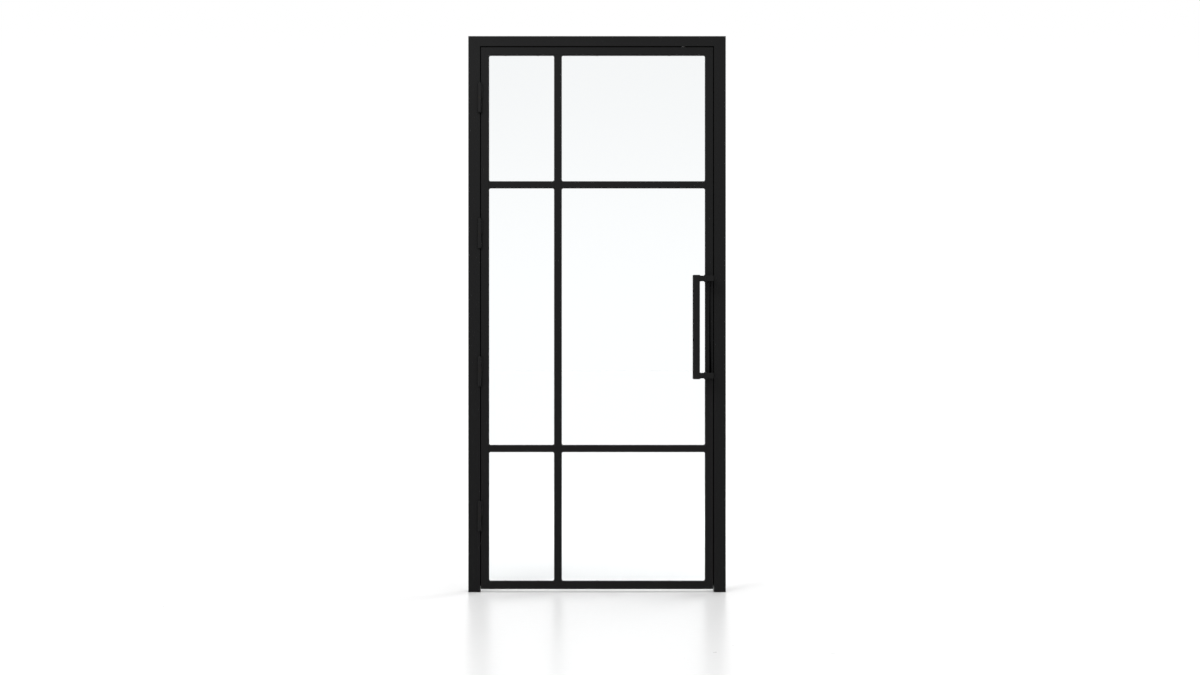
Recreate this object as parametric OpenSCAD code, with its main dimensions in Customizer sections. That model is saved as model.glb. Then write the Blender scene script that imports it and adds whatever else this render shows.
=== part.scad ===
// A steel-framed glass door with its frame: a narrow leaf of six panes on four barrel
// hinges, with an offset pull. Millimetres, +Z up. The floor is z = 0, the frame is
// centred on x = 0, and the side that the door opens towards faces -Y.

/* [Frame] */
// Overall width of the frame
frame_w = 1014; // [820:1:1260]
// Overall height of the frame
frame_h = 2190; // [1800:1:2700]
// Depth of the frame from front to back
frame_depth = 70; // [62:1:100]
// Width of a jamb's face
jamb_face = 46.3; // [36:0.1:60]
// Height of the head's face
head_face = 40; // [32:0.1:60]
// Wall of the folded steel sections
wall = 2; // [1.5:0.1:2.5]
// How far the stop laps behind the leaf
stop_lap = 12; // [11:0.5:16]
// Height of the stop's foot above the floor
stop_foot = 20; // [10:1:40]

/* [Leaf] */
// Gap between the leaf and each jamb
side_gap = 3.5; // [3:0.1:5]
// Gap between the leaf and the head
top_gap = 4; // [3:0.1:6]
// Gap between the leaf and the floor
floor_gap = 12; // [6:0.5:20]
// Depth of the leaf from front to back
leaf_depth = 40; // [36:1:48]
// Width of the face of the stiles and rails
stile_face = 30; // [28:0.5:40]
// Width of the tube behind that face
tube_w = 20; // [18:0.5:24]
// Thickness of the front flanges that hold the glass
flange_t = 4; // [3:0.5:5]

/* [Glazing bars] */
// Width of the vertical bar's face
bar_face = 25.5; // [24:0.5:40]
// Thickness of the vertical bar's web
bar_web = 8.5; // [8:0.5:12]
// Height of the cross bars' faces
cross_face = 23; // [22:0.5:40]
// Thickness of the cross bars' webs
cross_web = 8; // [8:0.5:12]
// Where the vertical bar's middle is, as a share of the leaf's width
bar_share = 0.3315; // [0.25:0.001:0.7]
// Where the cross bars' middles are, as shares of the leaf's height
cross_shares = [0.2594, 0.7464]; // [0.15:0.001:0.85]

/* [Glazing] */
// Thickness of the glass
glass_t = 8; // [6:1:10]
// Gap between the edge of the glass and the steel round it
edge_gap = 4; // [3:0.5:5]
// Thickness of each gasket
gasket_t = 3; // [2:0.5:4]
// How much of a gasket shows past the stiles and rails
gasket_show = 2; // [0.5:0.1:3]
// How much of a gasket shows past the glazing bars
bar_gasket_show = 2.5; // [0.5:0.1:3]
// Leg of the fillet in each corner of a gasket
gasket_corner = 4; // [2:0.5:8]
// How far the glazing beads stop short of the leaf's back
bead_recess = 3; // [1:0.5:5]
// Wall of the glazing beads
bead_wall = 1.5; // [1:0.1:2]
// Furthest spacing of the bead screws
screw_pitch = 290; // [200:10:400]
// Radius of a bead screw's shank
screw_r = 1.6; // [1.5:0.1:2]
// Length of a setting block
block_length = 60; // [40:5:80]

/* [Hinges] */
// Where the hinges' middles are, as shares of the frame's height
hinge_shares = [0.1372, 0.397, 0.645, 0.889]; // [0.1:0.001:0.9]
// Length of a hinge barrel
barrel_length = 120; // [100:1:140]
// Radius of a hinge barrel
barrel_r = 8; // [7:0.5:10]
// Radius of a hinge pin
pin_r = 5; // [4:0.5:5]
// Radial play of a pin in the leaf's knuckle
pin_play = 0.05; // [0.02:0.01:0.1]
// Thickness of the washer between the knuckles
washer_t = 2; // [1.5:0.5:3]
// Gap between a barrel and the door's face
barrel_gap = 0.8; // [0.6:0.1:3]
// How far the hinge line lies on the jamb's side of the gap
hinge_over_jamb = 1; // [0:0.1:2]
// Steel left between the end of a pin and the end of its barrel
pin_end_wall = 19; // [12:1:25]

/* [Pull] */
// Length of the grip
pull_length = 408; // [300:1:600]
// Width and depth of the grip
grip_w = 28; // [24:1:32]
// Radius of the grip's edges
grip_edge = 7.5; // [2:0.5:10]
// How far the pull stands out from the door's face
pull_out = 75; // [65:1:90]
// Height of the grip's middle, as a share of the frame's height
pull_share = 0.4767; // [0.4:0.001:0.55]
// Distance of the grip's middle from the leaf's lock edge
grip_inset = 69; // [60:1:90]
// Width of a post
post_w = 27; // [24:1:30]
// Height of a post
post_h = 22; // [20:1:26]
// Distance of a post from the leaf's lock edge
post_edge = 1.5; // [0:0.5:4]
// Width of the square arms
arm_w = 22; // [18:1:24]
// Length of a collar along the arm
collar_length = 10; // [6:1:14]

/* [Fixings] */
// Radius of the holes for the wall anchors
anchor_r = 4.25; // [3:0.25:5.5]
// Distance of the wall anchors behind the door's face
anchor_back = 22; // [16:1:30]
// Heights of the jamb anchors, as shares of the frame's height
anchor_shares = [0.09, 0.36, 0.64, 0.91]; // [0.05:0.01:0.95]
// Distance between the two anchors in the head
head_anchor_spacing = 500; // [300:10:700]

/* [Hidden] */
$fn = 48;

// Colours of the finishes
paint = [0.10, 0.10, 0.10];
rubber = [0.05, 0.05, 0.05];
steel = [0.65, 0.65, 0.66];
brass = [0.72, 0.58, 0.30];
glass_tint = [0.86, 0.93, 0.93, 0.35];
block_grey = [0.45, 0.45, 0.46];

// Small clearances shared by parts that fit together
fit = 0.1;          // between a screw or an arm and its hole, or two strips end to end
seal_gap = 0.3;     // between the seal and the back of the leaf
through = 1;        // how far a cutting tool passes its work

// The door's face lies so that pull and frame together are centred on y = 0
face_y = (pull_out - frame_depth) / 2;

// Leaf and stop
leaf_x = jamb_face + side_gap;
leaf_w = frame_w - 2 * leaf_x;
leaf_h = frame_h - head_face - top_gap - floor_gap;
seal_t = 4;
stop_front = leaf_depth + seal_t;
jamb_stop = leaf_x + stop_lap;
head_stop = head_face + top_gap + stop_lap;
seal_margin = 1.5;
seal_w = stop_lap - 2 * seal_margin;

// Glazing: what laps the glass on each side of a pane
stile_lap = stile_face - tube_w;
bar_lap = (bar_face - bar_web) / 2;
cross_lap = (cross_face - cross_web) / 2;
bar_x = bar_share * leaf_w;
cross_z = [for (s = cross_shares) s * leaf_h];
glass_front = flange_t + gasket_t;
glass_back = glass_front + glass_t;
bead_front = glass_back + gasket_t;
bead_depth = leaf_depth - bead_recess - bead_front;
bead_middle = bead_front + bead_depth / 2;
screw_bite = 3.5;
screw_head_r = 3.2;
screw_head_t = 1.8;

// Hinges
hinge_x = jamb_face - hinge_over_jamb;
hinge_proud = barrel_r + barrel_gap;
knuckle_length = (barrel_length - washer_t) / 2;
cap_edge = 4;
pin_sunk = knuckle_length - pin_end_wall;
pin_length = 2 * pin_sunk + washer_t;
wing_inset = 0.5;
wing_w = 5.5;

// Pull: the ends of the grip are at the arms
pull_z = pull_share * frame_h;
arm_z = [pull_z - (pull_length - grip_w) / 2, pull_z + (pull_length - grip_w) / 2];
grip_x = frame_w - leaf_x - grip_inset;
post_x = frame_w - leaf_x - post_edge - post_w;
grip_y = grip_w / 2 - pull_out;
bolt_x = frame_w - leaf_x - tube_w / 2;
bolt_r = 4;
bolt_sunk = 25;
bolt_head_r = 6;
bolt_head_t = 6;
bolt_access_r = 7.5;
bolt_washer_r = 7.5;
bolt_washer_t = 1.6;
arm_screw_r = 3;
arm_screw_head_r = 5;
arm_screw_head_t = 5;
arm_screw_bite = 14;
arm_screw_sunk = 1;

// Corner brackets and catch
bracket_leg = 100;
bracket_t = 5;
bracket_w = 40;
bracket_front = 12;
magnet_r = 8;
magnet_length = 12;
magnet_rim = 2;
magnet_rim_t = 1;
magnet_inset = 120;

// Panes, by column from the hinge side and row from the floor: where the tubes and webs
// leave them room, and how far the flanges lap over them
function room_x(col) = col == 0
    ? [tube_w, bar_x - bar_web / 2]
    : [bar_x + bar_web / 2, leaf_w - tube_w];
function room_z(row) = [
    row == 0 ? tube_w : cross_z[row - 1] + cross_web / 2,
    row == 2 ? leaf_h - tube_w : cross_z[row] - cross_web / 2
];
function lap_x(col) = col == 0 ? [stile_lap, bar_lap] : [bar_lap, stile_lap];
function lap_z(row) = [row == 0 ? stile_lap : cross_lap, row == 2 ? stile_lap : cross_lap];
function inside(room, inset) = [room[0] + inset[0], room[1] - inset[1]];
function show_x(col) = col == 0
    ? [stile_lap + gasket_show, bar_lap + bar_gasket_show]
    : [bar_lap + bar_gasket_show, stile_lap + gasket_show];
function show_z(row) = [
    row == 0 ? stile_lap + gasket_show : cross_lap + bar_gasket_show,
    row == 2 ? stile_lap + gasket_show : cross_lap + bar_gasket_show
];

// Evenly spaced places between two ends
function stops(a, b) =
    let (n = max(2, ceil((b - a) / screw_pitch)))
    [for (i = [0 : n - 1]) a + (b - a) * (i + 0.5) / n];

// Places and simple shapes

module in_place() translate([-frame_w / 2, face_y, 0]) children();

module in_leaf() in_place() translate([leaf_x, 0, floor_gap]) children();

// A box from one corner to the other
module block(from, to) translate(from) cube(to - from);

// What lies within an outline drawn as seen from the front
module within(points)
    intersection() {
        children();
        rotate([90, 0, 0]) translate([0, 0, -2 * frame_depth])
            linear_extrude(height = 4 * frame_depth) polygon(points);
    }

// A section stood upright, or laid level with its x upwards
module upright(length) linear_extrude(height = length) children();
module level(length) mirror([1, 0, -1]) linear_extrude(height = length) children();

// The other side of the frame, or of the leaf
module far_side(width) translate([width, 0, 0]) mirror([1, 0, 0]) children();
module top_side(height) translate([0, 0, height]) mirror([0, 0, 1]) children();

// A hole or rod that runs into the wall (y), across it (x) or up (z)
module rod_x(r, length) rotate([0, 90, 0]) cylinder(r = r, h = length);
module rod_y(r, length) rotate([-90, 0, 0]) cylinder(r = r, h = length);

// Frame: a folded hollow section with a stop behind the leaf
module frame_section(face, stop)
    difference() {
        polygon([[0, 0], [face, 0], [face, stop_front], [stop, stop_front],
            [stop, frame_depth], [0, frame_depth]]);
        polygon([[wall, wall], [face - wall, wall], [face - wall, stop_front + wall],
            [stop - wall, stop_front + wall], [stop - wall, frame_depth - wall],
            [wall, frame_depth - wall]]);
    }

module anchor_holes_jamb()
    for (s = anchor_shares)
        translate([-through, anchor_back, s * frame_h])
            rod_x(anchor_r, jamb_face + 2 * through);

// The stop ends short of the floor, where a plate closes the jamb's side
module jamb()
    difference() {
        union() {
            within([[0, 0], [0, frame_h], [jamb_face, frame_h - head_face],
                [jamb_stop, frame_h - head_stop], [jamb_stop, stop_foot],
                [jamb_face, stop_foot], [jamb_face, 0]])
                upright(frame_h) frame_section(jamb_face, jamb_stop);
            block([jamb_face - wall, stop_front, 0], [jamb_face, frame_depth, stop_foot]);
        }
        anchor_holes_jamb();
    }

module hinge_jamb() color(paint) in_place() jamb();

module lock_jamb() color(paint) in_place() far_side(frame_w) jamb();

module frame_head()
    color(paint) in_place() difference() {
        within([[0, frame_h], [frame_w, frame_h],
            [frame_w - jamb_face, frame_h - head_face],
            [frame_w - jamb_stop, frame_h - head_stop],
            [jamb_stop, frame_h - head_stop], [jamb_face, frame_h - head_face]])
            top_side(frame_h) level(frame_w) frame_section(head_face, head_stop);
        for (side = [-1, 1])
            translate([frame_w / 2 + side * head_anchor_spacing / 2, anchor_back,
                frame_h - head_face - through])
                cylinder(r = anchor_r, h = head_face + 2 * through);
        magnet_place() cylinder(r = magnet_r, h = wall + through);
    }

// Angle brackets that join the jambs to the head, inside the hollow sections
module corner_bracket()
    difference() {
        block([wall, bracket_front, frame_h - wall - bracket_leg],
            [wall + bracket_leg, bracket_front + bracket_w, frame_h - wall]);
        block([wall + bracket_t, 0, 0],
            [frame_w, frame_depth, frame_h - wall - bracket_t]);
    }

module corner_brackets()
    color(steel) in_place() {
        corner_bracket();
        far_side(frame_w) corner_bracket();
    }

// Seal: a D-shaped strip on the stop, just clear of the closed leaf
module seal_section() {
    rise = seal_t - seal_gap;
    bulb_r = (pow(seal_w / 2, 2) + pow(rise, 2)) / (2 * rise);
    intersection() {
        translate([0, stop_front - rise + bulb_r]) circle(r = bulb_r);
        translate([-seal_w / 2, stop_front - rise]) square([seal_w, rise]);
    }
}

module frame_seal() {
    head_line = frame_h - head_stop + stop_lap / 2;
    jamb_line = jamb_stop - stop_lap / 2;
    upright_length = head_line - seal_w / 2 - fit - stop_foot;
    color(rubber) in_place() {
        for (side = [0, 1])
            translate([side * frame_w, 0, 0]) mirror([side, 0, 0])
                translate([jamb_line, 0, stop_foot]) upright(upright_length) seal_section();
        translate([jamb_line - seal_w / 2, 0, head_line])
            level(frame_w - 2 * jamb_line + seal_w) seal_section();
    }
}

// Catch: a magnet pressed into the head, which holds the leaf's steel edge
module magnet_place()
    translate([frame_w - jamb_face - magnet_inset, leaf_depth / 2, frame_h - head_face])
        children();

module catch_magnet()
    color(steel) in_place() magnet_place() {
        cylinder(r = magnet_r, h = magnet_length);
        translate([0, 0, -magnet_rim_t]) cylinder(r = magnet_r + magnet_rim, h = magnet_rim_t);
    }

// Leaf: mitred tubes, each with a flange on its front that laps the glass
module stile_section()
    difference() {
        polygon([[0, 0], [stile_face, 0], [stile_face, flange_t], [tube_w, flange_t],
            [tube_w, leaf_depth], [0, leaf_depth]]);
        translate([wall, wall]) square([tube_w - 2 * wall, leaf_depth - 2 * wall]);
    }

module leaf_member(length)
    within([[0, 0], [0, length], [stile_face, length - stile_face],
        [stile_face, stile_face]])
        upright(length) stile_section();

module leaf_hinge_stile()
    color(paint) in_leaf() difference() {
        leaf_member(leaf_h);
        pilot_holes(0);
    }

module leaf_lock_stile()
    color(paint) difference() {
        in_leaf() far_side(leaf_w) leaf_member(leaf_h);
        in_leaf() pilot_holes(1);
        pull_bolt_places() {
            translate([0, -through, 0]) rod_y(bolt_r + fit, wall + 2 * through);
            translate([0, leaf_depth - wall - through, 0])
                rod_y(bolt_access_r, wall + 2 * through);
        }
    }

module leaf_rail() mirror([1, 0, -1]) leaf_member(leaf_w);

module leaf_top_rail()
    color(paint) in_leaf() difference() {
        top_side(leaf_h) leaf_rail();
        pilot_holes(0);
        pilot_holes(1);
    }

module leaf_bottom_rail()
    color(paint) in_leaf() difference() {
        leaf_rail();
        pilot_holes(0);
        pilot_holes(1);
    }

// Glazing bars: T sections, a flange on the front and a web between the panes
module vertical_bar()
    color(paint) in_leaf() difference() {
        union() {
            block([bar_x - bar_face / 2, 0, stile_face],
                [bar_x + bar_face / 2, flange_t, leaf_h - stile_face]);
            block([bar_x - bar_web / 2, flange_t, tube_w],
                [bar_x + bar_web / 2, leaf_depth, leaf_h - tube_w]);
        }
        pilot_holes(0);
        pilot_holes(1);
    }

module cross_bar(col, level_no) {
    z = cross_z[level_no];
    face = inside(room_x(col), lap_x(col));
    web = room_x(col);
    color(paint) in_leaf() difference() {
        union() {
            block([face[0], 0, z - cross_face / 2], [face[1], flange_t, z + cross_face / 2]);
            block([web[0], flange_t, z - cross_web / 2], [web[1], leaf_depth, z + cross_web / 2]);
        }
        pilot_holes(col);
    }
}

// A pane's outline inset on each side, between two depths
module pane_block(col, row, inset_x, inset_z, front, back) {
    x = inside(room_x(col), inset_x);
    z = inside(room_z(row), inset_z);
    block([x[0], front, z[0]], [x[1], back, z[1]]);
}

module glass(col, row)
    color(glass_tint) in_leaf()
        pane_block(col, row, [edge_gap, edge_gap], [edge_gap, edge_gap], glass_front, glass_back);

// Gaskets: rings of rubber on both faces of every pane, filled at the corners of the view
module gasket(col, row, front) {
    x = inside(room_x(col), show_x(col));
    z = inside(room_z(row), show_z(row));
    c = gasket_corner;
    difference() {
        pane_block(col, row, [edge_gap, edge_gap], [edge_gap, edge_gap],
            front, front + gasket_t);
        rotate([90, 0, 0]) translate([0, 0, -front - gasket_t - through])
            linear_extrude(height = gasket_t + 2 * through)
            polygon([[x[0] + c, z[0]], [x[1] - c, z[0]], [x[1], z[0] + c], [x[1], z[1] - c],
                [x[1] - c, z[1]], [x[0] + c, z[1]], [x[0], z[1] - c], [x[0], z[0] + c]]);
    }
}

module front_gaskets()
    color(rubber) in_leaf() for (col = [0, 1], row = [0 : 2]) gasket(col, row, flange_t);

module back_gaskets()
    color(rubber) in_leaf() for (col = [0, 1], row = [0 : 2]) gasket(col, row, glass_back);

// Setting blocks: two under each pane carry its weight
module setting_blocks()
    color(block_grey) in_leaf() for (col = [0, 1], row = [0 : 2], share = [0.22, 0.78]) {
        room = room_x(col);
        x = room[0] + share * (room[1] - room[0]);
        z = room_z(row)[0];
        block([x - block_length / 2, glass_front, z],
            [x + block_length / 2, glass_back, z + edge_gap]);
    }

// Beads: hollow strips behind the glass. The level ones fit between the upright ones.
module bead(length, width)
    upright(length) translate([0, bead_front]) difference() {
        square([width, bead_depth]);
        translate([bead_wall, bead_wall])
            square([width - 2 * bead_wall, bead_depth - 2 * bead_wall]);
    }

module beads(col, row) {
    x = room_x(col);
    z = room_z(row);
    side_laps = lap_x(col);
    end_laps = lap_z(row);
    inner = inside(x, [side_laps[0] + fit, side_laps[1] + fit]);
    color(paint) in_leaf() difference() {
        union() {
            translate([x[0], 0, z[0]]) bead(z[1] - z[0], side_laps[0]);
            translate([x[1], 0, z[0]]) mirror([1, 0, 0]) bead(z[1] - z[0], side_laps[1]);
            translate([inner[0], 0, z[0]]) mirror([1, 0, -1])
                bead(inner[1] - inner[0], end_laps[0]);
            translate([inner[0], 0, z[1]]) top_side(0) mirror([1, 0, -1])
                bead(inner[1] - inner[0], end_laps[1]);
        }
        bead_screw_places(col, row)
            translate([0, 0, -through]) cylinder(r = screw_r + fit, h = $lap + 2 * through);
    }
}

// Every bead screw of a pane starts on its bead's inner face and points at the steel.
// $lap is the width of the bead there.
module bead_screw_places(col, row) {
    side_laps = lap_x(col);
    end_laps = lap_z(row);
    x = inside(room_x(col), side_laps);
    z = inside(room_z(row), end_laps);
    for (up = stops(z[0], z[1])) {
        translate([x[0], bead_middle, up]) rotate([0, -90, 0])
            let ($lap = side_laps[0]) children();
        translate([x[1], bead_middle, up]) rotate([0, 90, 0])
            let ($lap = side_laps[1]) children();
    }
    for (along = stops(x[0], x[1])) {
        translate([along, bead_middle, z[0]]) rotate([180, 0, 0])
            let ($lap = end_laps[0]) children();
        translate([along, bead_middle, z[1]])
            let ($lap = end_laps[1]) children();
    }
}

module pilot_holes(col)
    for (row = [0 : 2])
        bead_screw_places(col, row)
            translate([0, 0, $lap - through])
                cylinder(r = screw_r + fit, h = through + screw_bite + fit);

module bead_screws()
    color(steel) in_leaf() for (col = [0, 1], row = [0 : 2])
        bead_screw_places(col, row) {
            cylinder(r = screw_r, h = $lap + screw_bite);
            translate([0, 0, -screw_head_t]) cylinder(r = screw_head_r, h = screw_head_t);
        }

// Hinges: a knuckle on the jamb below and one on the leaf above, with rounded ends and
// a wing that is welded to the steel. The pin is pressed into the lower one.
module hinge_place(i)
    in_place() translate([hinge_x, -hinge_proud, hinge_shares[i] * frame_h]) children();

// A knuckle that rises from z = 0 to its rounded end, with a blind bore at z = 0
module knuckle(bore_r, bore_depth, wing) {
    straight = knuckle_length - cap_edge;
    difference() {
        union() {
            rotate_extrude() {
                square([barrel_r, straight]);
                square([barrel_r - cap_edge, knuckle_length]);
                intersection() {
                    translate([barrel_r - cap_edge, straight]) circle(r = cap_edge);
                    translate([barrel_r - cap_edge, straight]) square(cap_edge);
                }
            }
            block([wing[0], 0, 0], [wing[1], hinge_proud, straight]);
        }
        translate([0, 0, -through]) cylinder(r = bore_r, h = bore_depth + through);
    }
}

module frame_knuckle(i)
    color(paint) hinge_place(i) translate([0, 0, -washer_t / 2]) mirror([0, 0, 1])
        knuckle(pin_r, pin_sunk, [-wing_w - wing_inset, -wing_inset]);

module leaf_knuckle(i) {
    wing_start = leaf_x - hinge_x + wing_inset;
    color(paint) hinge_place(i) translate([0, 0, washer_t / 2])
        knuckle(pin_r + pin_play, pin_sunk + through, [wing_start, wing_start + wing_w]);
}

module hinge_pins()
    color(steel) for (i = [0 : len(hinge_shares) - 1])
        hinge_place(i) translate([0, 0, -pin_length / 2]) cylinder(r = pin_r, h = pin_length);

module hinge_washers()
    color(brass) for (i = [0 : len(hinge_shares) - 1])
        hinge_place(i) difference() {
            cylinder(r = barrel_r - wing_inset, h = washer_t, center = true);
            cylinder(r = pin_r + fit, h = washer_t + 2 * through, center = true);
        }

// Pull: a square grip with an arm at each end. The arms reach across to two posts on the
// lock stile, so that the grip stands clear of the stile, in front of the glass.
function arc(middle_x, middle_y, r, from) =
    [for (i = [0 : 6]) let (a = from + i * 15) [middle_x + r * cos(a), middle_y + r * sin(a)]];

module grip_section() {
    reach = grip_w / 2 - grip_edge;
    polygon(concat(
        arc(reach, reach, grip_edge, 0),
        arc(-reach, reach, grip_edge, 90),
        arc(-reach, -reach, grip_edge, 180),
        arc(reach, -reach, grip_edge, 270)));
}

module each_arm() for (z = arm_z) in_place() translate([0, grip_y, z]) children();

module pull_grip()
    color(paint) difference() {
        union() {
            in_place() translate([grip_x, grip_y, pull_z - pull_length / 2])
                linear_extrude(height = pull_length) grip_section();
            each_arm() block([grip_x, -arm_w / 2, -arm_w / 2], [post_x, arm_w / 2, arm_w / 2]);
        }
        each_arm() translate([post_x - arm_screw_bite, 0, 0])
            rod_x(arm_screw_r + fit, arm_screw_bite + through);
    }

// Collars: square sleeves on the arms, against the posts
module pull_collars()
    color(paint) each_arm() difference() {
        block([post_x - collar_length, -grip_w / 2, -grip_w / 2],
            [post_x, grip_w / 2, grip_w / 2]);
        block([post_x - collar_length - through, -arm_w / 2 - fit, -arm_w / 2 - fit],
            [post_x + through, arm_w / 2 + fit, arm_w / 2 + fit]);
    }

module pull_posts()
    color(paint) difference() {
        for (z = arm_z)
            in_place() block([post_x, -pull_out, z - post_h / 2], [post_x + post_w, 0, z + post_h / 2]);
        pull_bolt_places() translate([0, -bolt_sunk - fit, 0]) rod_y(bolt_r, bolt_sunk + through);
        each_arm() {
            translate([post_x - through, 0, 0]) rod_x(arm_screw_r + fit, post_w + 2 * through);
            translate([post_x + post_w - arm_screw_head_t, 0, 0])
                rod_x(arm_screw_head_r + fit, arm_screw_head_t + through);
        }
    }

// Screws that draw the arms against the posts
module pull_arm_screws()
    color(steel) each_arm() {
        translate([post_x - arm_screw_bite + fit, 0, 0])
            rod_x(arm_screw_r, post_w + arm_screw_bite - fit - arm_screw_sunk);
        translate([post_x + post_w - arm_screw_head_t, 0, 0])
            rod_x(arm_screw_head_r, arm_screw_head_t - arm_screw_sunk);
    }

// Bolts inside the lock stile, screwed into the posts. They go in by way of access holes
// in the stile's back, which the stop covers when the leaf is shut.
module pull_bolt_places() for (z = arm_z) in_place() translate([bolt_x, 0, z]) children();

module pull_bolts()
    color(steel) pull_bolt_places() {
        translate([0, -bolt_sunk, 0]) rod_y(bolt_r, bolt_sunk + wall + bolt_washer_t);
        translate([0, wall + bolt_washer_t, 0]) rod_y(bolt_head_r, bolt_head_t);
    }

module pull_washers()
    color(steel) pull_bolt_places() translate([0, wall, 0]) difference() {
        rod_y(bolt_washer_r, bolt_washer_t);
        translate([0, -through, 0]) rod_y(bolt_r + fit, bolt_washer_t + 2 * through);
    }

hinge_jamb();
lock_jamb();
frame_head();
corner_brackets();
frame_seal();
catch_magnet();
leaf_hinge_stile();
leaf_lock_stile();
leaf_top_rail();
leaf_bottom_rail();
vertical_bar();
cross_bar(0, 0);  // cross_bar_lower_left
cross_bar(1, 0);  // cross_bar_lower_right
cross_bar(0, 1);  // cross_bar_upper_left
cross_bar(1, 1);  // cross_bar_upper_right
glass(0, 0);  // glass_lower_left
glass(1, 0);  // glass_lower_right
glass(0, 1);  // glass_middle_left
glass(1, 1);  // glass_middle_right
glass(0, 2);  // glass_upper_left
glass(1, 2);  // glass_upper_right
beads(0, 0);  // beads_lower_left
beads(1, 0);  // beads_lower_right
beads(0, 1);  // beads_middle_left
beads(1, 1);  // beads_middle_right
beads(0, 2);  // beads_upper_left
beads(1, 2);  // beads_upper_right
front_gaskets();
back_gaskets();
setting_blocks();
bead_screws();
frame_knuckle(0);  // frame_knuckle_1
frame_knuckle(1);  // frame_knuckle_2
frame_knuckle(2);  // frame_knuckle_3
frame_knuckle(3);  // frame_knuckle_4
leaf_knuckle(0);  // leaf_knuckle_1
leaf_knuckle(1);  // leaf_knuckle_2
leaf_knuckle(2);  // leaf_knuckle_3
leaf_knuckle(3);  // leaf_knuckle_4
hinge_pins();
hinge_washers();
pull_grip();
pull_collars();
pull_posts();
pull_arm_screws();
pull_bolts();
pull_washers();
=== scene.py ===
"""A steel-framed glass door, hung in its frame: six panes, four barrel hinges and a bar pull."""

import math

import bmesh
import bpy
import numpy as np
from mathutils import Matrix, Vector


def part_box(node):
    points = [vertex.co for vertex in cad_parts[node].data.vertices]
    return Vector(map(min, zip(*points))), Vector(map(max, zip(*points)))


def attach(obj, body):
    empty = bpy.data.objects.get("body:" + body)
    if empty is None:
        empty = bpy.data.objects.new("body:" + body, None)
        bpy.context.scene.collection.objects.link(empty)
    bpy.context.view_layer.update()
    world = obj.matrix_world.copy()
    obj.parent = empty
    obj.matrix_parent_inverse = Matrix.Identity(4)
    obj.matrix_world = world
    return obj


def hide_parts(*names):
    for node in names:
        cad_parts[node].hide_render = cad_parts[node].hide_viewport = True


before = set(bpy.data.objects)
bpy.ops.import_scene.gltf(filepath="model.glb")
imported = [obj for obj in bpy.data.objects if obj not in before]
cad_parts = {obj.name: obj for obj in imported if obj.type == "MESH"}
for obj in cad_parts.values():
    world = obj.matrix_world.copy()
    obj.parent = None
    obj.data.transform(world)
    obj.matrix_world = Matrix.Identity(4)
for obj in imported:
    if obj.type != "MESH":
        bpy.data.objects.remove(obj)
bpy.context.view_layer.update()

# The camera. It looks square at the door from half its height, through a long lens, so that
# the jambs stay upright and both sides of the leaf show alike.
face_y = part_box("hinge_jamb")[0][1]
camera_distance = 9.0
camera_side = 0.0117
camera_height = 1.003
seen_width = 4.7256
lens_data = bpy.data.cameras.new("camera")
lens_data.sensor_width = 36
lens_data.lens = 36 * camera_distance / seen_width
lens_data.clip_end = 200
camera = bpy.data.objects.new("camera", lens_data)
camera.location = (camera_side, face_y - camera_distance, camera_height)
camera.rotation_euler = (math.radians(90), 0, 0)
bpy.context.scene.collection.objects.link(camera)
bpy.context.scene.camera = camera
bpy.context.scene.view_settings.view_transform = "Standard"


# The studio: a white room without corners. Its walls look white, straight on or through glass,
# and fade a little with height. What they light gets more from the front than from behind.
class Node:
    """One output of a shader node. Sums, differences and products of outputs add Math nodes."""

    def __init__(self, tree, socket=None):
        self.tree = tree
        self.socket = socket

    def add(self, kind, settings, inputs, outlet=0):
        """Makes a node of this kind, sets it up, then fills or links its inputs."""
        made = self.tree.nodes.new(kind)
        for name, value in settings.items():
            setattr(made, name, value)
        for key, value in inputs.items():
            if isinstance(value, Node):
                self.tree.links.new(value.socket, made.inputs[key])
            else:
                made.inputs[key].default_value = value
        return Node(self.tree, made.outputs[outlet]) if made.outputs else None

    def outlet(self, name):
        """Another output of the same node."""
        return Node(self.tree, self.socket.node.outputs[name])

    def maths(self, operation, first, second):
        """One Math node on two values."""
        return self.add("ShaderNodeMath", {"operation": operation}, {0: first, 1: second})

    def __add__(self, other):
        return self.maths("ADD", self, other)

    def __radd__(self, other):
        return self.maths("ADD", other, self)

    def __sub__(self, other):
        return self.maths("SUBTRACT", self, other)

    def __rsub__(self, other):
        return self.maths("SUBTRACT", other, self)

    def __mul__(self, other):
        return self.maths("MULTIPLY", self, other)

    def __rmul__(self, other):
        return self.maths("MULTIPLY", other, self)

    def between(self, low, high):
        """0 below low, 1 above high, and a smooth step from one to the other."""
        settings = {"interpolation_type": "SMOOTHSTEP"}
        inputs = {"Value": self, "From Min": low, "From Max": high}
        return self.add("ShaderNodeMapRange", settings, inputs)

    def noise(self, place, scale, detail=2.0, roughness=0.5):
        """Cloudy values from 0 to 1 with this many blobs to the metre."""
        inputs = {"Vector": place, "Scale": scale, "Detail": detail, "Roughness": roughness}
        return self.add("ShaderNodeTexNoise", {}, inputs)

    def blend(self, share, first, second):
        """Two colours mixed by share. Inputs 6 and 7 and output 2 are the node's colours."""
        inputs = {0: share, 6: first, 7: second}
        return self.add("ShaderNodeMix", {"data_type": "RGBA"}, inputs, 2)


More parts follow.
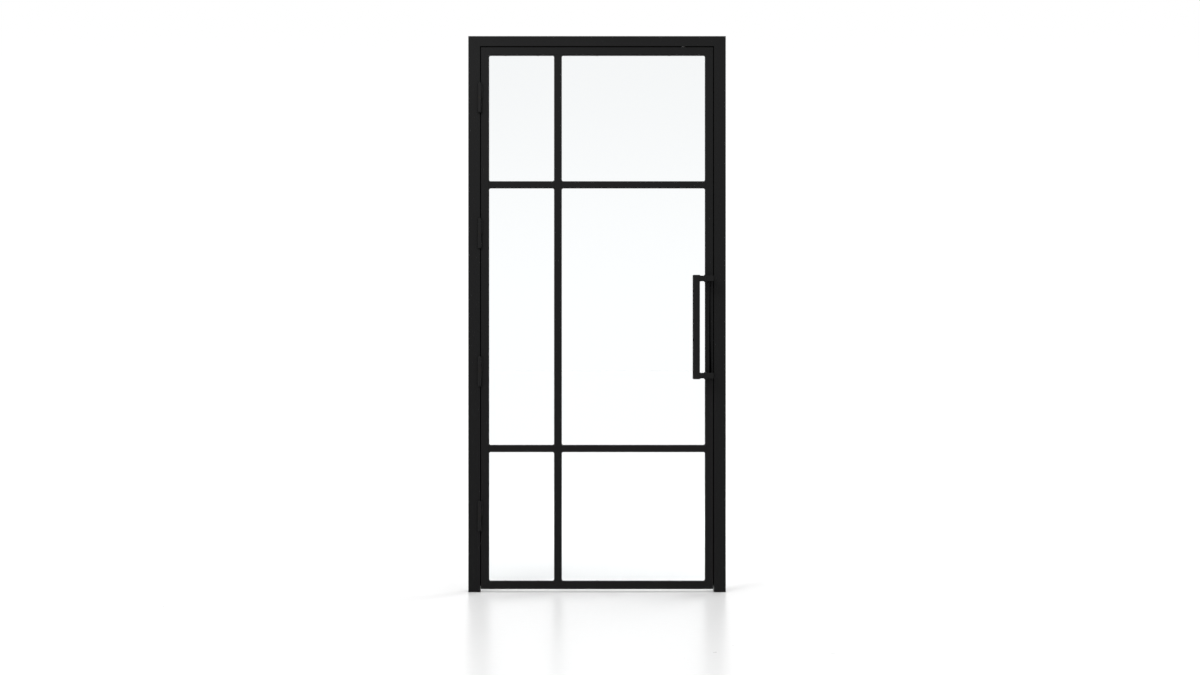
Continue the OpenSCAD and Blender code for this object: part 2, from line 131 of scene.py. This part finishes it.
room = bpy.data.worlds.new("room")
bpy.context.scene.world = room
room.use_nodes = True
room.node_tree.nodes.clear()
sky = Node(room.node_tree)
ray = sky.add("ShaderNodeLightPath", {}, {}, "Is Camera Ray")
seen = sky.maths("MAXIMUM", ray, ray.outlet("Is Transmission Ray"))
way = sky.add("ShaderNodeTexCoord", {}, {}, "Generated")
parts = sky.add("ShaderNodeSeparateXYZ", {}, {0: way}, "Y")
wall_light = 1.45 - parts.between(-0.3, 0.3) * 0.35
wall_tone = 1.09 - parts.outlet("Z").between(0.0, 0.14) * 0.09
lit = sky.add("ShaderNodeBackground", {}, {"Color": (1, 1, 1, 1), "Strength": wall_light})
white = sky.add("ShaderNodeBackground", {}, {"Color": (1, 1, 1, 1), "Strength": wall_tone})
mixed = sky.add("ShaderNodeMixShader", {}, {0: seen, 1: lit, 2: white})
sky.add("ShaderNodeOutputWorld", {}, {0: mixed})


def soft_light(name, place, aim, width, height, power):
    """A rectangular lamp at place that faces the point aim."""
    data = bpy.data.lights.new(name, "AREA")
    data.shape = "RECTANGLE"
    data.size = width
    data.size_y = height
    data.energy = power
    lamp = bpy.data.objects.new(name, data)
    ray = np.array(aim, float) - np.array(place, float)
    turn = math.atan2(ray[1], ray[0]) - math.pi / 2
    tilt = math.atan2(-ray[2], math.hypot(ray[0], ray[1]))
    lamp.location = place
    lamp.rotation_euler = (math.pi / 2 - tilt, 0, turn)
    bpy.context.scene.collection.objects.link(lamp)


soft_light("front_light", (-2.4, -5.0, 4.8), (-0.1, 0, 1.7), 2.2, 1.8, 200)
soft_light("back_light", (3.0, 4.2, 3.6), (0.1, 0, 1.2), 2.2, 1.8, 120)


# The floor: one wide pale sheet, sealed with a faint sheen, so that the foot of the door is mirrored
# softly in it.
# Its colour is darkened in front of the door as painted shade. The door stands on it without a sill.
def square_sheet(name, half, height):
    """A flat square on a grid of two by two points, facing up."""
    side = np.array([-half, half])
    x, y = np.meshgrid(side, side)
    points = np.stack([x.ravel(), y.ravel(), np.full(4, height)], 1)
    mesh = bpy.data.meshes.new(name)
    mesh.from_pydata(points.tolist(), [], [(0, 1, 3, 2)])
    made = bpy.data.objects.new(name, mesh)
    bpy.context.scene.collection.objects.link(made)
    return made


def plain_finish(name, base, roughness, **constants):
    """A material with a Principled shader. A value that changes over the surface is a Node."""
    made = bpy.data.materials.new(name)
    made.use_nodes = True
    made.node_tree.nodes.clear()
    start = Node(made.node_tree)
    place = start.add("ShaderNodeTexCoord", {}, {}, "Object")
    inputs = {"Base Color": base(place) if callable(base) else base}
    inputs["Roughness"] = roughness(place) if callable(roughness) else roughness
    for key, value in constants.items():
        key = key.replace("_", " ")
        inputs[key] = value(place) if callable(value) else value
    shader = start.add("ShaderNodeBsdfPrincipled", {}, inputs)
    start.add("ShaderNodeOutputMaterial", {}, {0: shader})
    return made


def painted_floor_shade(place):
    """Painted shade: darker in front of the door, standing in for the door's shade on the floor, and
    paler far away, where the floor runs into the room.
    """
    front = {0: place, 1: (0, -1.5, 0)}
    away = place.add("ShaderNodeVectorMath", {"operation": "DISTANCE"}, front, 1)
    # The share runs from the painted shade in front of the door to the pale far floor, with a little
    # random tone on top.
    share = away.between(1.4, 5.0) + place.noise(place, 0.7) * 0.06
    return place.blend(share, (0.612, 0.612, 0.612, 1), (0.86, 0.86, 0.86, 1))


floor = square_sheet("floor", 60, 0.0)
floor.data.materials.append(plain_finish(
    "pale_floor",
    painted_floor_shade,
    lambda place: 0.26 + place.noise(place, 30) * 0.06,
    Specular_IOR_Level=0.17))


# The door frame: two jambs and a head of folded steel, powder coated in a fine matt black.
# Each is a closed section with a rebate for the leaf, and the corners are mitred.
def powder_coat(name, dark, light, sheen, shine=0.105):
    """Matt black paint: soft clouds in its tone, and a fine peel in its surface."""
    def colour(place):
        cloud = place.noise(place, 3.1, 3.0, 0.55)
        fleck = place.noise(place, 240, 2.0)
        tone = cloud * 0.7 + fleck * 0.3
        return place.blend(tone, (*dark, 1), (*light, 1))

    def gloss(place):
        return sheen - 0.05 + place.noise(place, 9, 3.0) * 0.1

    def peel(place):
        height = place.noise(place, 1600, 1.0) + place.noise(place, 550, 1.0) * 1.6
        inputs = {"Strength": 0.8, "Distance": 0.00016, "Height": height}
        return place.add("ShaderNodeBump", {}, inputs)

    return plain_finish(name, colour, gloss, Normal=peel, Specular_IOR_Level=shine)


coat_dark = (0.0015, 0.0015, 0.0016)
coat_light = (0.0025, 0.0025, 0.0026)
frame_paint = powder_coat("frame_paint", coat_dark, coat_light, 0.46)


def eased_copy(node, body, finish, ease, other=(), rounded=False):
    """A piece as it leaves the shop: its triangles joined, and its edges rounded by ease. The
    edges of a face that points along a direction listed in other are rounded by its value."""
    made = bpy.data.objects.new(node + "_eased", bpy.data.meshes.new(node + "_eased"))
    work = bmesh.new()
    work.from_mesh(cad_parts[node].data)
    bmesh.ops.remove_doubles(work, verts=work.verts, dist=0.000002)
    flat = math.radians(0.5)
    bmesh.ops.dissolve_limit(work, angle_limit=flat, verts=work.verts, edges=work.edges)
    widest = max([ease] + [width for way, width in other])
    share = work.edges.layers.float.new("bevel_weight_edge")
    for edge in work.edges:
        width = 0.0 if edge.calc_face_angle(0.0) < math.radians(30) else ease
        for way, special in other:
            meets = any(abs(face.normal.dot(way)) > 0.99 for face in edge.link_faces)
            width = special if width and meets else width
        edge[share] = width / widest
    for face in work.faces:
        face.smooth = rounded
    work.to_mesh(made.data)
    work.free()
    if rounded:
        made.data.set_sharp_from_angle(angle=math.radians(30))
    made.data.materials.clear()
    made.data.materials.append(finish)
    bpy.context.scene.collection.objects.link(made)
    bevel = made.modifiers.new("eased_edges", "BEVEL")
    bevel.width = widest
    bevel.segments = 3
    bevel.limit_method = "WEIGHT"
    bevel.use_clamp_overlap = False
    bevel.harden_normals = rounded
    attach(made, body)
    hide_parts(node)
    return made


joint_ease = 0.00015
mitres = [(Vector((1, 0, lean)).normalized(), joint_ease) for lean in (1, -1)]
for node in ("hinge_jamb", "lock_jamb", "frame_head"):
    eased_copy(node, "frame", frame_paint, 0.0008, mitres)

# Inside the frame's top corners: two angle brackets of bare zinc-plated steel, which pull the
# mitres together, and a small magnet in the head that holds the leaf shut.
bare_steel = plain_finish(
    "bare_steel",
    lambda place: place.blend(
        place.noise(place, 90, 3.0), (0.42, 0.42, 0.41, 1), (0.56, 0.56, 0.55, 1)),
    lambda place: 0.3 + place.noise(place, 260, 2.0) * 0.16,
    Metallic=1.0)
for node in ("corner_brackets", "catch_magnet"):
    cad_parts[node].data.materials.clear()
    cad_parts[node].data.materials.append(bare_steel)


# The seal in the frame's rebate: a soft black rubber strip on the face of the stop, which runs
# up the hinge jamb, along the head and down the lock jamb.
def rubber(name, low, high, roughness):
    """Black rubber, a little dusty and without shine."""
    return plain_finish(
        name,
        lambda place: place.blend(place.noise(place, 55, 4.0), (*low, 1), (*high, 1)),
        lambda place: roughness + place.noise(place, 130, 2.0) * 0.12,
        Specular_IOR_Level=0.3)


seal_rubber = rubber("seal_rubber", (0.006, 0.006, 0.006), (0.013, 0.013, 0.012), 0.62)
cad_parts["frame_seal"].data.materials.clear()
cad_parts["frame_seal"].data.materials.append(seal_rubber)

# The leaf: two stiles and two rails of rebated tube, mitred, welded and ground flush, with
# the same black powder coat over the joints.
leaf_paint = powder_coat("leaf_paint", coat_dark, coat_light, 0.44)
for node in ("leaf_hinge_stile", "leaf_lock_stile", "leaf_top_rail", "leaf_bottom_rail"):
    eased_copy(node, "leaf", leaf_paint, 0.0008, mitres)

# The glazing bars: T sections with a flat face and a web between the panes. One runs from
# rail to rail, and four short ones are let in between it and the stiles.
for node in ("vertical_bar", "cross_bar_lower_left", "cross_bar_lower_right",
             "cross_bar_upper_left", "cross_bar_upper_right"):
    ends = Vector((0, 0, 1)) if node == "vertical_bar" else Vector((1, 0, 0))
    eased_copy(node, "leaf", leaf_paint, 0.0006, [(ends, 0.0001)])


# The panes: six sheets of clear toughened glass, each with its edges ground flat and its
# corners taken off at a slant. The ground edge is paler and greener than the face.
def pane_sheet(node, arris):
    """A box with its twelve edges ground back: the hull of three points at each corner, each of
    which lies on one face and is moved in from that face's two edges by arris."""
    low, high = (np.array(corner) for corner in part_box(node))
    signs = np.array([(a, b, c) for a in (0, 1) for b in (0, 1) for c in (0, 1)])
    corners = low + signs * (high - low)
    inward = np.where(signs == 1, -arris, arris)
    rings = np.stack([corners + inward * (1 - np.eye(3)[axis]) for axis in range(3)], 1)
    work = bmesh.new()
    for point in rings.reshape(-1, 3):
        work.verts.new(point)
    bmesh.ops.convex_hull(work, input=work.verts)
    bmesh.ops.dissolve_limit(work, angle_limit=0.01, verts=work.verts, edges=work.edges)
    bmesh.ops.recalc_face_normals(work, faces=work.faces)
    for face in work.faces:
        face.material_index = 0 if abs(face.normal.y) > 0.9 else 1
    mesh = bpy.data.meshes.new(node + "_pane")
    work.to_mesh(mesh)
    work.free()
    return bpy.data.objects.new(node + "_pane", mesh)


clear_glass = plain_finish(
    "clear_glass", (0.905, 0.92, 0.925, 1), 0.0, IOR=1.25, Transmission_Weight=1.0)
ground_edge = plain_finish(
    "ground_edge",
    lambda place: place.blend(place.noise(place, 300), (0.42, 0.66, 0.6, 1), (0.55, 0.76, 0.7, 1)),
    0.35, IOR=1.5, Transmission_Weight=0.6)
for row in ("lower", "middle", "upper"):
    for side in ("left", "right"):
        node = "glass_" + row + "_" + side
        pane = pane_sheet(node, 0.0006)
        pane.data.materials.append(clear_glass)
        pane.data.materials.append(ground_edge)
        bpy.context.scene.collection.objects.link(pane)
        pane.visible_shadow = False
        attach(pane, "leaf")
        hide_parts(node)

# The gaskets: rings of black rubber tape on both faces of every pane, filled at the corners,
# and the small plastic blocks that each pane stands on.
gasket_rubber = rubber("gasket_rubber", (0.004, 0.004, 0.004), (0.008, 0.008, 0.008), 0.55)
for node in ("front_gaskets", "back_gaskets"):
    eased_copy(node, "leaf", gasket_rubber, 0.0005)
block_plastic = plain_finish(
    "block_plastic",
    lambda place: place.blend(place.noise(place, 70), (0.02, 0.02, 0.021, 1), (0.03, 0.03, 0.031, 1)),
    0.5)
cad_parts["setting_blocks"].data.materials.clear()
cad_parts["setting_blocks"].data.materials.append(block_plastic)

# The glazing beads: square tubes round the back of each pane, cut to length, coated like the
# leaf, and held by small screws along their run.
for row in ("lower", "middle", "upper"):
    for side in ("left", "right"):
        eased_copy("beads_" + row + "_" + side, "leaf", leaf_paint, 0.0004)


def separate_solids(node):
    """The points of each loose solid of a node. Points at one place share a number, and each
    number drops to the lowest one among its triangle's until none changes."""
    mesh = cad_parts[node].data
    points = np.empty(len(mesh.vertices) * 3)
    mesh.vertices.foreach_get("co", points)
    corners = np.empty(len(mesh.loops), int)
    mesh.loops.foreach_get("vertex_index", corners)
    points = points.reshape(-1, 3)
    places, same = np.unique(points.round(6), axis=0, return_inverse=True)
    triangles = same.ravel()[corners].reshape(-1, 3)
    label = np.arange(len(places))
    before = None
    while before is None or (before != label).any():
        before = label.copy()
        lowest = np.repeat(label[triangles].min(1), 3)
        np.minimum.at(label, triangles.ravel(), lowest)
    return [places[label == number] for number in np.unique(label)]


def cross_head_screw(points):
    """A pan head on a shank, as rings turned round the solid's long axis. A ring's height is a
    low dome, less a fixed depth where it lies in one of the two slots of the cross."""
    low, high = points.min(0), points.max(0)
    axis = int(np.argmax(high - low))
    middle = (low + high) / 2
    across = np.delete(points - middle, axis, 1)
    far = np.hypot(across[:, 0], across[:, 1])
    head = far.max()
    sign = 1.0 if points[far > 0.9 * head, axis].mean() > middle[axis] else -1.0
    top = high[axis] if sign > 0 else low[axis]
    length = high[axis] - low[axis]
    shank = far[far < 0.8 * head].max()
    reach = np.array([0, 0.12, 0.24, 0.36, 0.48, 0.6, 0.62, 0.8, 0.93, 1, 1, 0, 0, 0]) * head
    drop = np.array([0, 0, 0, 0, 0, 0, 0, 0.02, 0.08, 0.2, 0.56, 0.56, 0, 0]) * head
    reach[11:13] = shank
    drop[12:] = length
    angle = np.arange(32) * math.tau / 32
    ring_x = reach[:, None] * np.cos(angle)
    ring_y = reach[:, None] * np.sin(angle)
    slot = np.minimum(abs(ring_x), abs(ring_y)) < 0.13 * head
    inside = (np.arange(14) < 6)[:, None]
    sunk = drop[:, None] + np.where(slot & inside, 0.3 * head, 0.0)
    turned = np.empty((14, 32, 3))
    turned[..., axis] = top - sign * sunk
    turned[..., (axis + 1) % 3] = middle[(axis + 1) % 3] + ring_x * sign
    turned[..., (axis + 2) % 3] = middle[(axis + 2) % 3] + ring_y
    return turned


def ring_mesh(name, stacks):
    """One mesh from stacks of rings: each four neighbours on a stack's grid make a face."""
    points = []
    faces = []
    for stack in stacks:
        rows, columns = stack.shape[:2]
        start = sum(len(block) for block in points)
        index = start + np.arange(rows * columns).reshape(rows, columns)
        after = np.roll(index, -1, axis=1)
        quads = np.stack([index[:-1], index[1:], after[1:], after[:-1]], -1)
        points.append(stack.reshape(-1, 3))
        faces.append(quads.reshape(-1, 4))
    mesh = bpy.data.meshes.new(name)
    mesh.from_pydata(np.concatenate(points).tolist(), [], np.concatenate(faces).tolist())
    work = bmesh.new()
    work.from_mesh(mesh)
    bmesh.ops.remove_doubles(work, verts=work.verts, dist=0.000003)
    bmesh.ops.recalc_face_normals(work, faces=work.faces)
    for face in work.faces:
        face.smooth = True
    work.to_mesh(mesh)
    work.free()
    mesh.set_sharp_from_angle(angle=math.radians(35))
    made = bpy.data.objects.new(name, mesh)
    bpy.context.scene.collection.objects.link(made)
    return made


black_steel = plain_finish(
    "black_steel",
    lambda place: place.blend(
        place.noise(place, 400, 3.0), (0.03, 0.03, 0.032, 1), (0.055, 0.055, 0.057, 1)),
    lambda place: 0.34 + place.noise(place, 500, 2.0) * 0.14,
    Metallic=1.0)
turned_screws = [cross_head_screw(points) for points in separate_solids("bead_screws")]
screws = ring_mesh("bead_screws_driven", turned_screws)
screws.data.materials.append(black_steel)
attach(screws, "leaf")
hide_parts("bead_screws")

# The hinges: four pairs of weld-on barrels on steel pins, each pair with a brass washer
# between its halves. The lower half is welded to the jamb and the upper one to the leaf.
hinge_paint = powder_coat("hinge_paint", coat_dark, coat_light, 0.36, 0.13)
for number in (1, 2, 3, 4):
    for half in ("frame_knuckle_", "leaf_knuckle_"):
        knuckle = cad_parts[half + str(number)]
        knuckle.data.materials.clear()
        knuckle.data.materials.append(hinge_paint)


def weld_run(side_x, face_side_y, low_z, high_z, radius):
    """A run of weld: a round section carried up a line, its radius swelling at each ripple
    and shrinking to nothing at both ends."""
    length = high_z - low_z
    along = np.linspace(0, 1, 61)
    ripple = 1 + 0.13 * np.abs(np.sin(math.pi * along * length / 0.0032))
    taper = np.sqrt(np.clip(1 - np.abs(2 * along - 1) ** 14, 0, 1))
    angle = np.arange(12) * math.tau / 12
    size = (radius * ripple * taper)[:, None]
    height = np.broadcast_to((low_z + along * length)[:, None], (61, 12))
    across = side_x + size * np.cos(angle)
    out = face_side_y + size * np.sin(angle)
    return np.stack([across, out, height], -1)


weld_radius = 0.0017
weld_sunk = 0.0006
weld_end = 0.006
welded_halves = (("frame_knuckle_", "frame", 0, 0.0018), ("leaf_knuckle_", "leaf", 1, -0.0001))
for half, body, side, edge in welded_halves:
    runs = []
    for number in (1, 2, 3, 4):
        low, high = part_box(half + str(number))
        side_x = (low, high)[side][0] + edge
        runs.append(weld_run(
            side_x, face_y - weld_sunk, low[2] + weld_end, high[2] - weld_end, weld_radius))
    welds = ring_mesh(half + "welds", runs)
    welds.data.materials.append(hinge_paint)
    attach(welds, body)
washer_brass = plain_finish(
    "washer_brass",
    lambda place: place.blend(
        place.noise(place, 120), (0.014, 0.011, 0.007, 1), (0.022, 0.017, 0.01, 1)),
    lambda place: 0.28 + place.noise(place, 300) * 0.14,
    Metallic=1.0)
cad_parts["hinge_pins"].data.materials.clear()
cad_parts["hinge_pins"].data.materials.append(bare_steel)
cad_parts["hinge_washers"].data.materials.clear()
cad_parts["hinge_washers"].data.materials.append(washer_brass)

# The pull: a square bar with an arm at each end, a collar on each arm and two square posts
# that are bolted through the lock stile.
pull_paint = powder_coat("pull_paint", coat_dark, coat_light, 0.34, 0.12)
grip_ends = [(Vector((0, 0, 1)), 0.003)]
eased_copy("pull_grip", "leaf", pull_paint, 0.001, grip_ends, rounded=True)
eased_copy("pull_collars", "leaf", pull_paint, 0.0008)
eased_copy("pull_posts", "leaf", pull_paint, 0.0008)
pull_fixings = {"pull_arm_screws": black_steel, "pull_bolts": bare_steel, "pull_washers": bare_steel}
for node, finish in pull_fixings.items():
    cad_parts[node].data.materials.clear()
    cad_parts[node].data.materials.append(finish)
